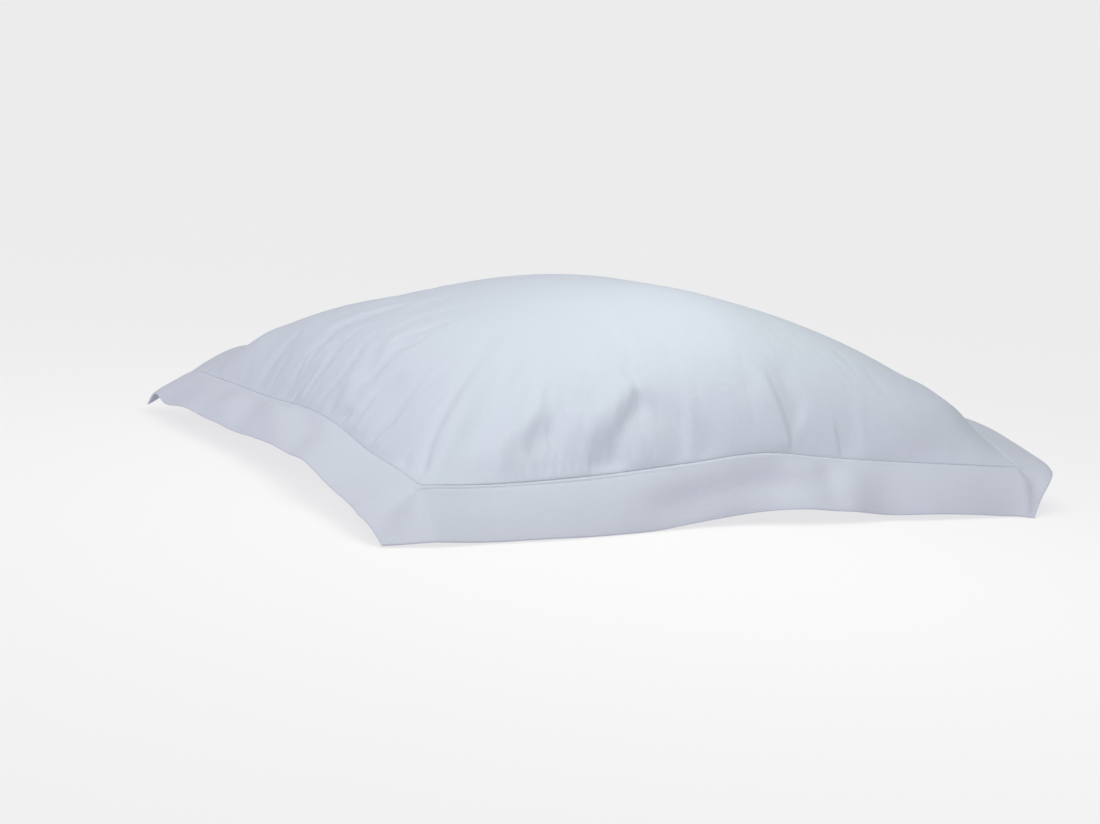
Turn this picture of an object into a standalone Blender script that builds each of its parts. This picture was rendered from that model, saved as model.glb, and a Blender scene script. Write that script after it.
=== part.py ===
"""White oxford pillowcase with its pillow inside, lying on its back.

A front and a back panel are sewn to each other along the hem and again 53 mm
further in. Inside that second line they hold the pillow, as one plump body.
Outside it they lie flat on each other, as a border that droops and waves.

The origin is the middle of the seam's rectangle, on the surface below. The
long sides run along X, and the near long side is at -Y.
"""

import math
from collections import namedtuple

import bmesh
import bpy

# Driving dimensions, in metres
SEAM_LENGTH = 0.652         # seam corner to seam corner, along X
SEAM_WIDTH = 0.504          # seam corner to seam corner, along Y
END_DRAW_IN = 0.015         # how far the pillow pulls the middle of a short side in
SIDE_DRAW_IN = 0.006        # the same for a long side
CROWN_HEIGHT = 0.1054       # crown above the seam's own level
BELLY_DEPTH = 0.090         # how far the pillow would sag below the seam, unsupported
RIM_THICKNESS = 0.002       # the body's edge at the seam
BORDER_WIDTH = 0.053        # from the seam to the hem
BORDER_THICKNESS = 0.002    # two panels and their turned-in hem
SEWN_GAP = 0.0003           # between the border and the body it is sewn to

# Shape of the crown and the belly: (1 - |u|^power_u) * (1 - |v|^power_v), raised to fullness
CROWN_POWER_U = 1.15
CROWN_POWER_V = 2.35
CROWN_FULLNESS = 0.43
SEAM_SOFTENING = 0.05       # keeps the cloth from leaving the seam upright
CROWN_TOP_ROUNDING = 0.50   # takes the point off the very top
CROWN_LEAN_U = 0.07         # moves the top towards the left end
CROWN_LEAN_V = 0.01         # and towards the near side
BELLY_POWER = 2.0
BELLY_FULLNESS = 0.42
FOLDS_BEGIN_BY = 0.12       # share of the rise over which the folds grow out of the seam

# Mesh cells
CELLS_LONG = 50
CELLS_SHORT = 40
CELLS_BORDER = 4
CROWDING = 0.25             # how much closer the cells lie near the seam
SMOOTHING_PASSES = 2
SMOOTHING_SHARE = 0.30

# Height of the seam above the surface, along each side from -1 to 1
Height = namedtuple("Height", "along height")
SEAM_HEIGHTS = {
    "near": [
        Height(-1.00, 0.0420),
        Height(-0.80, 0.0405),
        Height(-0.50, 0.0445),
        Height(-0.20, 0.0530),
        Height(0.05, 0.0605),
        Height(0.30, 0.0540),
        Height(0.60, 0.0480),
        Height(1.00, 0.0420),
    ],
    "far": [
        Height(-1.00, 0.0490),
        Height(-0.80, 0.0710),
        Height(-0.50, 0.0650),
        Height(0.00, 0.0670),
        Height(0.50, 0.0500),
        Height(1.00, 0.0465),
    ],
    "left": [
        Height(-1.00, 0.0420),
        Height(-0.80, 0.0435),
        Height(-0.50, 0.0450),
        Height(-0.20, 0.0535),
        Height(0.05, 0.0550),
        Height(0.40, 0.0500),
        Height(1.00, 0.0490),
    ],
    "right": [
        Height(-1.00, 0.0420),
        Height(-0.80, 0.0630),
        Height(-0.40, 0.0740),
        Height(0.10, 0.0655),
        Height(0.60, 0.0570),
        Height(1.00, 0.0465),
    ],
}

# Where the hem lies beside the seam, along each side from -1 to 1: how far out,
# how far a ripple lifts it, how far it is pushed along the side, and how far the
# middle of the border stands proud. How far the hem drops follows from the width.
Hem = namedtuple("Hem", "along out lift shift proud")
HEMS = {
    "near": [
        Hem(-1.00, 0.0365, 0.000, 0.000, 0.001),
        Hem(-0.80, 0.0350, 0.000, 0.000, 0.003),
        Hem(-0.65, 0.0360, -0.002, 0.000, 0.002),
        Hem(-0.50, 0.0320, -0.003, 0.000, 0.002),
        Hem(-0.35, 0.0270, -0.003, 0.000, 0.003),
        Hem(-0.20, 0.0210, 0.000, 0.000, 0.003),
        Hem(0.00, 0.0190, 0.000, 0.000, 0.003),
        Hem(0.15, 0.0275, 0.000, 0.000, 0.000),
        Hem(0.30, 0.0310, 0.000, 0.000, 0.004),
        Hem(0.45, 0.0260, 0.000, 0.000, 0.003),
        Hem(0.60, 0.0310, 0.000, 0.000, 0.003),
        Hem(0.75, 0.0320, 0.000, 0.000, 0.003),
        Hem(0.90, 0.0310, 0.000, -0.006, 0.003),
        Hem(1.00, 0.0330, 0.000, -0.020, 0.004),
    ],
    "far": [
        Hem(-1.00, 0.0470, 0.015, 0.003, 0.003),
        Hem(-0.80, 0.0500, 0.015, 0.000, 0.000),
        Hem(-0.40, 0.0490, 0.005, 0.000, 0.002),
        Hem(0.00, 0.0370, 0.000, 0.000, 0.003),
        Hem(0.40, 0.0420, 0.000, 0.000, 0.004),
        Hem(0.75, 0.0390, 0.000, 0.000, 0.003),
        Hem(1.00, 0.0400, 0.000, 0.000, 0.003),
    ],
    "left": [
        Hem(-1.00, 0.0470, 0.000, 0.010, 0.002),
        Hem(-0.80, 0.0475, 0.000, 0.000, 0.002),
        Hem(-0.65, 0.0490, 0.000, 0.000, 0.002),
        Hem(-0.50, 0.0510, 0.000, 0.000, 0.001),
        Hem(-0.35, 0.0500, 0.000, 0.000, 0.003),
        Hem(-0.20, 0.0460, 0.000, 0.000, 0.003),
        Hem(0.00, 0.0430, 0.000, 0.000, 0.001),
        Hem(0.20, 0.0435, 0.000, 0.000, 0.003),
        Hem(0.40, 0.0440, 0.000, 0.000, 0.001),
        Hem(0.60, 0.0455, 0.000, 0.000, 0.003),
        Hem(0.80, 0.0455, 0.000, 0.000, 0.001),
        Hem(1.00, 0.0390, 0.000, 0.000, 0.003),
    ],
    "right": [
        Hem(-1.00, 0.0515, 0.011, 0.000, 0.000),
        Hem(-0.85, 0.0505, 0.005, 0.000, 0.000),
        Hem(-0.70, 0.0505, 0.009, 0.000, 0.000),
        Hem(-0.40, 0.0510, 0.006, 0.000, 0.002),
        Hem(-0.10, 0.0480, 0.000, 0.000, 0.002),
        Hem(0.35, 0.0500, 0.000, 0.000, 0.002),
        Hem(0.75, 0.0470, 0.000, 0.000, 0.002),
        Hem(1.00, 0.0450, 0.000, 0.000, 0.003),
    ],
}

# The border's four tips: how far out from the seam's corner and how high; then,
# halfway along the hem to the tip, how far the short side's hem is pushed out and
# lifted, and how far the long side's hem is lifted
Tip = namedtuple("Tip", "end side out_x out_y height push_end lift_end lift_side")
TIPS = [
    Tip(-1, -1, 0.043, 0.028, 0.0000, 0.000, 0.000, 0.000),
    Tip(1, -1, -0.001, 0.042, 0.0000, 0.007, 0.002, 0.000),
    Tip(-1, 1, 0.036, 0.054, 0.0040, 0.000, 0.013, -0.008),
    Tip(1, 1, 0.041, 0.041, 0.0060, 0.002, 0.003, 0.003),
]

# The crown's folds, as lines across it: where each starts and ends, how wide it
# is, and how far it rises (+) or sinks (-)
Fold = namedtuple("Fold", "start_u start_v end_u end_v width rise")
FOLDS = [
    Fold(-0.99, -0.99, -0.61, -0.46, 0.012, -0.0030),
    Fold(-0.95, -0.99, -0.60, -0.54, 0.010, 0.0025),
    Fold(-0.85, -0.92, -0.55, -0.60, 0.012, -0.0030),
    Fold(-0.76, -0.95, -0.50, -0.88, 0.010, -0.0040),
    Fold(-0.54, -0.99, -0.29, -0.84, 0.012, -0.0060),
    Fold(-0.30, -0.93, -0.14, -0.99, 0.010, -0.0040),
    Fold(0.11, -0.86, 0.16, -0.99, 0.010, 0.0030),
    Fold(0.30, -0.99, 0.39, -0.97, 0.008, -0.0030),
    Fold(-0.99, -0.50, -0.84, -0.10, 0.012, -0.0040),
    Fold(-0.99, 0.20, -0.88, 0.10, 0.012, -0.0030),
    Fold(0.92, -0.92, 0.98, -0.50, 0.030, 0.0100),
]


def smooth_curve(table, column, along):
    """Read one column of a table at a place between its rows, without kinks."""
    places = [row.along for row in table]
    values = [getattr(row, column) for row in table]
    last = len(table) - 1
    row = max(i for i in range(last) if places[i] <= along or i == 0)

    def slope(i):
        low, high = max(i - 1, 0), min(i + 1, last)
        return (values[high] - values[low]) / (places[high] - places[low])

    span = places[row + 1] - places[row]
    t = (along - places[row]) / span
    return (
        (2 * t**3 - 3 * t**2 + 1) * values[row]
        + (t**3 - 2 * t**2 + t) * span * slope(row)
        + (3 * t**2 - 2 * t**3) * values[row + 1]
        + (t**3 - t**2) * span * slope(row + 1)
    )


def seam_level(u, v):
    """Height of the smooth sheet that spans the seam."""
    near = smooth_curve(SEAM_HEIGHTS["near"], "height", u)
    far = smooth_curve(SEAM_HEIGHTS["far"], "height", u)
    left = smooth_curve(SEAM_HEIGHTS["left"], "height", v)
    right = smooth_curve(SEAM_HEIGHTS["right"], "height", v)
    corners = (
        SEAM_HEIGHTS["near"][0].height * (1 - u) * (1 - v)
        + SEAM_HEIGHTS["near"][-1].height * (1 + u) * (1 - v)
        + SEAM_HEIGHTS["far"][0].height * (1 - u) * (1 + v)
        + SEAM_HEIGHTS["far"][-1].height * (1 + u) * (1 + v)
    ) / 4
    return (near * (1 - v) + far * (1 + v) + left * (1 - u) + right * (1 + u)) / 2 - corners


def plan(u, v):
    """Place of a point of the body in plan, with the drawn-in sides."""
    x = u * (SEAM_LENGTH / 2 - END_DRAW_IN * (1 - v * v))
    y = v * (SEAM_WIDTH / 2 - SIDE_DRAW_IN * (1 - u * u))
    return x, y


def rounded(value):
    """Distance from the middle, with the point at zero rounded off."""
    soft = math.hypot(value, CROWN_TOP_ROUNDING) - CROWN_TOP_ROUNDING
    return soft / (math.hypot(1, CROWN_TOP_ROUNDING) - CROWN_TOP_ROUNDING)


def dome(share, fullness):
    """Share of the full height at a place, zero along the seam and one at the top."""
    low = SEAM_SOFTENING**fullness
    return ((share + SEAM_SOFTENING) ** fullness - low) / ((1 + SEAM_SOFTENING) ** fullness - low)


def fold_height(x, y, fold):
    """How far one fold lifts the crown at a place in plan."""
    start_x, start_y = plan(fold.start_u, fold.start_v)
    end_x, end_y = plan(fold.end_u, fold.end_v)
    run_x, run_y = end_x - start_x, end_y - start_y
    length = math.hypot(run_x, run_y)
    along = ((x - start_x) * run_x + (y - start_y) * run_y) / length**2
    beside = ((x - start_x) * run_y - (y - start_y) * run_x) / length
    beyond = max(-along, along - 1, 0) * length
    return fold.rise * math.exp(-(beside**2 + beyond**2) / fold.width**2)


def front_point(u, v):
    """A point of the crown, between -1 and 1 each way."""
    lean_u = rounded(u + CROWN_LEAN_U * (1 - u * u) / 2)
    lean_v = rounded(v + CROWN_LEAN_V * (1 - v * v) / 2)
    share = (1 - min(lean_u, 1) ** CROWN_POWER_U) * (1 - min(lean_v, 1) ** CROWN_POWER_V)
    x, y = plan(u, v)
    folds = sum(fold_height(x, y, fold) for fold in FOLDS) * min(1.0, share / FOLDS_BEGIN_BY)
    return x, y, seam_level(u, v) + CROWN_HEIGHT * dome(share, CROWN_FULLNESS) + folds


def back_point(u, v):
    """A point of the underside, flat where it lies on the surface."""
    share = (1 - abs(u) ** BELLY_POWER) * (1 - abs(v) ** BELLY_POWER)
    sag = BELLY_DEPTH * dome(share, BELLY_FULLNESS)
    return (*plan(u, v), max(seam_level(u, v) - RIM_THICKNESS - sag, 0.0))


def hem_row(side, along):
    """The hem's values at a place along one side, read between the rows of its table."""
    table = HEMS[side]
    return Hem(along, *(smooth_curve(table, column, along) for column in Hem._fields[1:]))


def hem_offset(side, along, share):
    """Vector from the seam to a place in the border's width, as outwards, along and up."""
    hem = hem_row(side, along)
    seam = smooth_curve(SEAM_HEIGHTS[side], "height", along) - RIM_THICKNESS
    drop = min(math.sqrt(max(BORDER_WIDTH**2 - hem.out**2, 0.0)) - RIM_THICKNESS - hem.lift, seam)
    bow = hem.proud * 4 * share * (1 - share)
    slant = math.hypot(hem.out, drop)
    outwards = hem.out * share + bow * drop / slant
    return outwards, hem.shift * share, bow * hem.out / slant - drop * share


def border_point(u, v, share_x, share_y):
    """A point of the border, by its nearest seam point and its share of the width each way."""
    x, y = plan(u, v)
    z = seam_level(u, v) - RIM_THICKNESS
    end, side = math.copysign(1, u), math.copysign(1, v)
    end_name, side_name = "left" if u < 0 else "right", "near" if v < 0 else "far"
    moved = [0.0, 0.0, 0.0]
    if share_x:
        outwards, shift, up = hem_offset(end_name, v, share_x)
        moved = [end * outwards, shift, up]
    if share_y:
        outwards, shift, up = hem_offset(side_name, u, share_y)
        moved = [moved[0] + shift, moved[1] + side * outwards, moved[2] + up]
    if share_x and share_y:
        tip = next(row for row in TIPS if row.end == end and row.side == side)
        from_end, from_side = hem_offset(end_name, v, 1.0), hem_offset(side_name, u, 1.0)
        both = share_x * share_y
        corner = [
            end * (tip.out_x - from_end[0]) - from_side[1],
            side * (tip.out_y - from_side[0]) - from_end[1],
            tip.height - z - from_end[2] - from_side[2],
        ]
        moved = [moved[i] + both * corner[i] for i in range(3)]
        by_end = 4 * share_x * share_y * (1 - share_y)
        by_side = 4 * share_y * share_x * (1 - share_x)
        moved[0] += end * tip.push_end * by_end
        moved[2] += tip.lift_end * by_end + tip.lift_side * by_side
    gap_x = end * SEWN_GAP if abs(u) == 1 else 0.0
    gap_y = side * SEWN_GAP if abs(v) == 1 else 0.0
    return x + moved[0] + gap_x, y + moved[1] + gap_y, max(z + moved[2], 0.0)


def cloth_material(name, colour):
    """Plain white cotton."""
    material = bpy.data.materials.new(name)
    material.use_nodes = True
    shader = material.node_tree.nodes["Principled BSDF"]
    shader.inputs["Base Color"].default_value = colour
    shader.inputs["Roughness"].default_value = 0.85
    shader.inputs["Metallic"].default_value = 0.0
    return material


def add_object(name, bm, material, collection):
    """Turn a finished mesh into a smooth-shaded object of the case."""
    mesh = bpy.data.meshes.new(name)
    bm.to_mesh(mesh)
    bm.free()
    mesh.materials.append(material)
    mesh.shade_smooth()
    result = bpy.data.objects.new(name, mesh)
    collection.objects.link(result)
    return result


def edges_along(bm, axis):
    """Edges that run along one axis of a box."""
    return [e for e in bm.edges if abs(e.verts[0].co[axis] - e.verts[1].co[axis]) > 1e-4]


def crowded(place):
    """A grid line's place between -1 and 1, moved so that the lines lie closer near the seam."""
    return place * (1 + CROWDING * (1 - place * place))


def make_body(collection):
    """The filled part: a box with a grid on its faces, moulded into the pillow's shape."""
    bm = bmesh.new()
    bmesh.ops.create_cube(bm, size=2.0)
    for axis, cells in ((0, CELLS_LONG), (1, CELLS_SHORT)):
        bmesh.ops.subdivide_edges(bm, edges=edges_along(bm, axis), cuts=cells - 1, use_grid_fill=True)
    for vert in bm.verts:
        u, v, face = crowded(vert.co.x), crowded(vert.co.y), vert.co.z
        vert.co = front_point(u, v) if face > 0 else back_point(u, v)
    return add_object("filled_case", bm, cloth_material("cotton_body", (0.80, 0.83, 0.88, 1)), collection)


def split_place(index, cells):
    """Seam coordinate and share of the border's width, from a grid line's number."""
    inner = (index - CELLS_BORDER) / cells * 2 - 1
    beyond = max(CELLS_BORDER - index, index - CELLS_BORDER - cells, 0)
    return crowded(max(-1.0, min(1.0, inner))), beyond / CELLS_BORDER


def relax_border(bm):
    """Soften the folds between the sides and the corners, with seam and tips held."""
    hem = {e for e in bm.edges if e.is_boundary}
    seam_reach = (SEAM_LENGTH / 2 + SEWN_GAP * 2, SEAM_WIDTH / 2 + SEWN_GAP * 2)
    free = []
    for vert in bm.verts:
        on_edge = [e for e in vert.link_edges if e in hem]
        at_seam = abs(vert.co.x) <= seam_reach[0] and abs(vert.co.y) <= seam_reach[1]
        is_tip = len(vert.link_faces) == 1
        if not is_tip and not (on_edge and at_seam):
            free.append((vert, on_edge or vert.link_edges))
    for _ in range(SMOOTHING_PASSES):
        targets = []
        for vert, edges in free:
            middle = sum((e.other_vert(vert).co for e in edges), vert.co * 0) / len(edges)
            targets.append(vert.co.lerp(middle, SMOOTHING_SHARE))
        for (vert, _edges), target in zip(free, targets):
            vert.co = target


def make_border(collection):
    """The border: a flat grid without its middle, hung from the seam and given its thickness."""
    bm = bmesh.new()
    lines = (CELLS_LONG + 2 * CELLS_BORDER, CELLS_SHORT + 2 * CELLS_BORDER)
    bmesh.ops.create_grid(bm, x_segments=lines[0], y_segments=lines[1], size=1.0)
    places = {}
    for vert in bm.verts:
        i = round((vert.co.x + 1) / 2 * lines[0])
        j = round((vert.co.y + 1) / 2 * lines[1])
        (u, share_x), (v, share_y) = split_place(i, CELLS_LONG), split_place(j, CELLS_SHORT)
        places[vert] = (u, v, share_x, share_y)
    inside = [f for f in bm.faces if all(places[v][2] == 0 and places[v][3] == 0 for v in f.verts)]
    bmesh.ops.delete(bm, geom=inside, context="FACES")
    for vert in bm.verts:
        vert.co = border_point(*places[vert])
    relax_border(bm)
    border = add_object("border", bm, cloth_material("cotton_border", (0.78, 0.80, 0.86, 1)), collection)
    walls = border.modifiers.new("two panels", "SOLIDIFY")
    walls.thickness = BORDER_THICKNESS
    walls.offset = 1.0
    walls.use_even_offset = False
    return border


def main():
    for existing in list(bpy.data.objects):
        bpy.data.objects.remove(existing, do_unlink=True)
    collection = bpy.data.collections.new("oxford pillowcase")
    bpy.context.scene.collection.children.link(collection)
    make_body(collection)
    make_border(collection)


main()
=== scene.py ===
"""Looks of a white oxford pillowcase with its pillow inside, lying on its back.

The filled case and its border repeat the CAD's forms on a finer mesh, with the creases,
puckers and ripples of the cloth. Sizes are in metres and angles in degrees. u and v run
from -1 to 1 between the seams, along X and along Y.
"""

import logging
import math
from dataclasses import dataclass, field
from enum import Enum
from itertools import chain
from typing import NamedTuple

import bpy
import numpy as np
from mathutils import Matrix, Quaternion, Vector


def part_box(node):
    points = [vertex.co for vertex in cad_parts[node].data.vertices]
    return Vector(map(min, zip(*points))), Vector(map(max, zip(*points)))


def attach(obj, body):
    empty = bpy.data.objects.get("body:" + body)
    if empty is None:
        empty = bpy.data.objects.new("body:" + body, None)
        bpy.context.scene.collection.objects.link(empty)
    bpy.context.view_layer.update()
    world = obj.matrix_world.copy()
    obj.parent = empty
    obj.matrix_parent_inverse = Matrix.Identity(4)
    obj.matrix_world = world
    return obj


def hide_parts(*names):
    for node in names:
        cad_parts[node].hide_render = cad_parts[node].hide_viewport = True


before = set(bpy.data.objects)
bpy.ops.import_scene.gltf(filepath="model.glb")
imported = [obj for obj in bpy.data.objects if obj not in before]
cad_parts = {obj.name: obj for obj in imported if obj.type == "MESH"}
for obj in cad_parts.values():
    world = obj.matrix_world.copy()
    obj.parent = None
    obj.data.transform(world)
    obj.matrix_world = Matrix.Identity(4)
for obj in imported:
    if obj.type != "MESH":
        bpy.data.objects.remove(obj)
LOG = logging.getLogger("pillowcase")
BODY_NODE = "filled_case"
BORDER_NODE = "border"
CLOTH_MAP = "cloth"           # map of each piece on its flat cloth, in metres
UPRIGHT = "upright"           # name of the attribute that holds the cloth's normals


class Side(Enum):
    """The four sides of the case, named as the camera sees them."""

    NEAR = "near"
    FAR = "far"
    LEFT = "left"
    RIGHT = "right"


class Level(NamedTuple):
    """Height of the seam above the floor, at a place along one side from -1 to 1."""

    along: float
    height: float


class Hem(NamedTuple):
    """Where the hem lies beside the seam, at a place along one side from -1 to 1.

    out is how far out it lies, proud how far the middle of the border stands out, lift how
    far a ripple lifts the hem, and shift how far it is pushed along the side.
    """

    along: float
    out: float
    proud: float
    lift: float = 0.0
    shift: float = 0.0


class Tip(NamedTuple):
    """One of the border's four tips.

    out_x, out_y and height place it from the seam's corner and the floor. On the way along
    the hem to the tip, push_end moves the short side's hem out and in again, lift_end
    lifts it, and lift_side lifts the long side's hem.
    """

    end: int
    side: int
    out_x: float
    out_y: float
    height: float
    push_end: float = 0.0
    lift_end: float = 0.0
    lift_side: float = 0.0


class Corner(NamedTuple):
    """One corner of the crown, which the filling doesn't quite reach.

    slack is the share of its height that is missing, and reach how far that is felt.
    """

    end: int
    side: int
    slack: float
    reach: float


class Crease(NamedTuple):
    """One crease of the crown.

    run holds its places as (u, v). start_width and end_width are its half widths, fade_in
    and fade_out the shares of the run over which it grows and dies. rise lifts its middle,
    and step lifts its left bank and sinks its right one, seen along the run.
    """

    run: tuple[tuple[float, float], ...]
    start_width: float
    end_width: float
    fade_in: float
    fade_out: float
    rise: float
    step: float = 0.0


class Ripple(NamedTuple):
    """One ripple across the border.

    It runs from at_seam to at_hem, which are places along its side. width is its half
    width along the side, and height its height halfway across.
    """

    side: Side
    at_seam: float
    at_hem: float
    width: float
    height: float


class Dent(NamedTuple):
    """One long dent in the border: its place along the side, the share of the border's
    width where it lies, its half widths both ways and its height."""

    side: Side
    along: float
    share: float
    width: float
    reach: float
    height: float


class CornerFold(NamedTuple):
    """One fold in a corner of the border, which fans out from the seam's corner.

    angle turns from outwards past the short side to outwards past the long one, and
    spread is the fold's half width, both in degrees.
    """

    end: int
    side: int
    angle: float
    spread: float
    height: float


class Groove(NamedTuple):
    """Share of the depth of the seam's two sewn grooves, at a place along one side."""

    along: float
    inner: float
    outer: float


SEAM_LEVELS = {
    Side.NEAR: (
        Level(-1.0, 0.042), Level(-0.8, 0.0405), Level(-0.5, 0.0445), Level(-0.2, 0.053),
        Level(0.05, 0.0605), Level(0.3, 0.054), Level(0.6, 0.048), Level(1.0, 0.042),
    ),
    Side.FAR: (
        Level(-1.0, 0.049), Level(-0.8, 0.071), Level(-0.5, 0.065), Level(0.0, 0.067),
        Level(0.5, 0.05), Level(1.0, 0.0465),
    ),
    Side.LEFT: (
        Level(-1.0, 0.042), Level(-0.8, 0.0435), Level(-0.5, 0.045), Level(-0.2, 0.0535),
        Level(0.05, 0.055), Level(0.4, 0.05), Level(1.0, 0.049),
    ),
    Side.RIGHT: (
        Level(-1.0, 0.042), Level(-0.8, 0.063), Level(-0.4, 0.074), Level(0.1, 0.0655),
        Level(0.6, 0.057), Level(1.0, 0.0465),
    ),
}

HEMS = {
    Side.NEAR: (
        Hem(-1.0, 0.0365, 0.001), Hem(-0.8, 0.035, 0.003), Hem(-0.65, 0.036, 0.002, -0.002),
        Hem(-0.5, 0.032, 0.002, -0.003), Hem(-0.35, 0.027, 0.003, -0.003), Hem(-0.2, 0.021, 0.003),
        Hem(0.0, 0.019, 0.003), Hem(0.15, 0.0275, 0.0), Hem(0.3, 0.031, 0.004),
        Hem(0.45, 0.026, 0.003), Hem(0.6, 0.031, 0.003), Hem(0.75, 0.032, 0.003),
        Hem(0.9, 0.031, 0.003, 0.0, -0.006), Hem(1.0, 0.033, 0.004, 0.0, -0.02),
    ),
    Side.FAR: (
        Hem(-1.0, 0.047, 0.003, 0.015, 0.003), Hem(-0.8, 0.05, 0.0, 0.015),
        Hem(-0.4, 0.049, 0.002, 0.005), Hem(0.0, 0.037, 0.003), Hem(0.4, 0.042, 0.004),
        Hem(0.75, 0.039, 0.003), Hem(1.0, 0.04, 0.003),
    ),
    Side.LEFT: (
        Hem(-1.0, 0.047, 0.002, 0.0, 0.01), Hem(-0.8, 0.0475, 0.002), Hem(-0.65, 0.049, 0.002),
        Hem(-0.5, 0.051, 0.001), Hem(-0.35, 0.05, 0.003), Hem(-0.2, 0.046, 0.003),
        Hem(0.0, 0.043, 0.001), Hem(0.2, 0.0435, 0.003), Hem(0.4, 0.044, 0.001),
        Hem(0.6, 0.0455, 0.003), Hem(0.8, 0.0455, 0.001), Hem(1.0, 0.039, 0.003),
    ),
    Side.RIGHT: (
        Hem(-1.0, 0.0515, 0.0, 0.011), Hem(-0.85, 0.0505, 0.0, 0.005),
        Hem(-0.7, 0.0505, 0.0, 0.009), Hem(-0.4, 0.051, 0.002, 0.006), Hem(-0.1, 0.048, 0.002),
        Hem(0.35, 0.05, 0.002), Hem(0.75, 0.047, 0.002), Hem(1.0, 0.045, 0.003),
    ),
}

TIPS = (
    Tip(-1, -1, 0.043, 0.028, 0.0),
    Tip(1, -1, -0.01, 0.042, 0.0, 0.016, 0.004),
    Tip(-1, 1, 0.036, 0.054, 0.004, 0.0, 0.013, -0.008),
    Tip(1, 1, 0.041, 0.041, 0.006, 0.0, 0.003, 0.003),
)

CORNERS = (
    Corner(-1, -1, 0.25, 0.05),
    Corner(1, -1, 0.5, 0.045),
    Corner(-1, 1, 0.2, 0.03),
    Corner(1, 1, 0.5, 0.08),
)

CREASES = (
    # Sharp crease that climbs from the near left corner, and the ridge beside it
    Crease(((-0.99, -0.97), (-0.93, -0.83), (-0.85, -0.71), (-0.71, -0.54), (-0.58, -0.37), (-0.5, -0.23)),
           0.0022, 0.0075, 0.02, 0.4, -0.0025),
    Crease(((-0.975, -0.985), (-0.9, -0.87), (-0.82, -0.76), (-0.69, -0.6), (-0.57, -0.45)),
           0.0055, 0.011, 0.05, 0.45, 0.0028),
    # Soft valley beside it
    Crease(((-0.88, -0.93), (-0.8, -0.845), (-0.7, -0.72), (-0.6, -0.56), (-0.53, -0.44)),
           0.009, 0.013, 0.25, 0.45, -0.0052),
    # Hooked fold, and the swell under it
    Crease(((-0.74, -0.9), (-0.695, -0.925), (-0.655, -0.907), (-0.615, -0.89), (-0.56, -0.876)),
           0.006, 0.01, 0.25, 0.35, -0.001, 0.0028),
    Crease(((-0.8, -0.925), (-0.74, -0.945), (-0.64, -0.955)), 0.007, 0.007, 0.3, 0.3, 0.0028),
    Crease(((-0.557, -0.862), (-0.435, -0.892)), 0.002, 0.002, 0.1, 0.2, -0.0006),
    # The deepest fold, and its branch along the seam
    Crease(((-0.52, -0.992), (-0.46, -0.965), (-0.4, -0.935), (-0.35, -0.9), (-0.305, -0.86)),
           0.012, 0.006, 0.1, 0.15, -0.001, 0.004),
    Crease(((-0.41, -0.985), (-0.36, -0.955), (-0.33, -0.93)), 0.008, 0.006, 0.2, 0.3, 0.0022),
    Crease(((-0.33, -0.885), (-0.3, -0.915), (-0.255, -0.937), (-0.215, -0.963), (-0.175, -0.982)),
           0.006, 0.0085, 0.4, 0.25, -0.0042),
    Crease(((-0.23, -0.975), (-0.135, -0.985), (-0.045, -0.978)), 0.008, 0.007, 0.5, 0.5, -0.0022),
    # Thin upright crease right of the middle, with the cloth on its right lying lower
    Crease(((0.152, -0.995), (0.13, -0.943), (0.115, -0.91), (0.1, -0.87), (0.085, -0.83)),
           0.0028, 0.0055, 0.05, 0.5, 0.0, 0.0007),
    Crease(((0.162, -0.995), (0.142, -0.943), (0.128, -0.91), (0.115, -0.87), (0.1, -0.83)),
           0.012, 0.017, 0.15, 0.5, 0.0, 0.0019),
    # Pinch of the seam
    Crease(((0.32, -0.998), (0.34, -0.992), (0.377, -0.982), (0.434, -0.965)),
           0.007, 0.011, 0.1, 0.6, -0.0018),
    # Fold above the seam towards the near right corner
    Crease(((0.46, -0.985), (0.62, -0.955), (0.78, -0.925), (0.93, -0.91)),
           0.014, 0.018, 0.4, 0.3, 0.0, 0.0018),
    # Soft folds at the left end
    Crease(((-0.83, 0.23), (-0.88, 0.2)), 0.004, 0.005, 0.2, 0.4, -0.0018),
    Crease(((-0.877, 0.368), (-0.934, 0.341)), 0.005, 0.005, 0.3, 0.3, -0.0012),
    Crease(((-0.8, -0.01), (-0.86, -0.13), (-0.91, -0.256), (-0.96, -0.35)),
           0.007, 0.01, 0.15, 0.3, -0.0026),
    Crease(((-0.76, -0.003), (-0.863, -0.188), (-0.904, -0.29)), 0.007, 0.008, 0.3, 0.4, 0.002),
    Crease(((-0.83, -0.245), (-0.905, -0.408), (-0.95, -0.5), (-0.984, -0.56)),
           0.01, 0.012, 0.3, 0.3, -0.0026),
    # Puckers along the left seam
    Crease(((-0.998, 0.18), (-0.98, 0.27), (-0.95, 0.31)), 0.013, 0.012, 0.05, 0.3, -0.003),
    Crease(((-0.998, -0.22), (-0.985, -0.13), (-0.976, -0.05)), 0.006, 0.005, 0.05, 0.4, -0.0018),
    Crease(((-0.998, -0.23), (-0.98, -0.25), (-0.962, -0.25)), 0.007, 0.006, 0.05, 0.4, -0.0022),
    Crease(((-0.955, -0.143), (-0.93, -0.101), (-0.9, -0.061)), 0.006, 0.006, 0.3, 0.4, 0.0012),
    Crease(((-0.998, -0.79), (-0.985, -0.8), (-0.976, -0.74)), 0.0035, 0.0035, 0.05, 0.3, -0.0022),
    # Full shoulders behind the near right corner and at the far left one
    Crease(((0.87, -0.53), (0.915, -0.68), (0.942, -0.86)), 0.026, 0.024, 0.35, 0.35, 0.0046),
    Crease(((-0.84, 0.72), (-0.92, 0.82), (-0.985, 0.9)), 0.02, 0.02, 0.35, 0.15, 0.0032),
)

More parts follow.
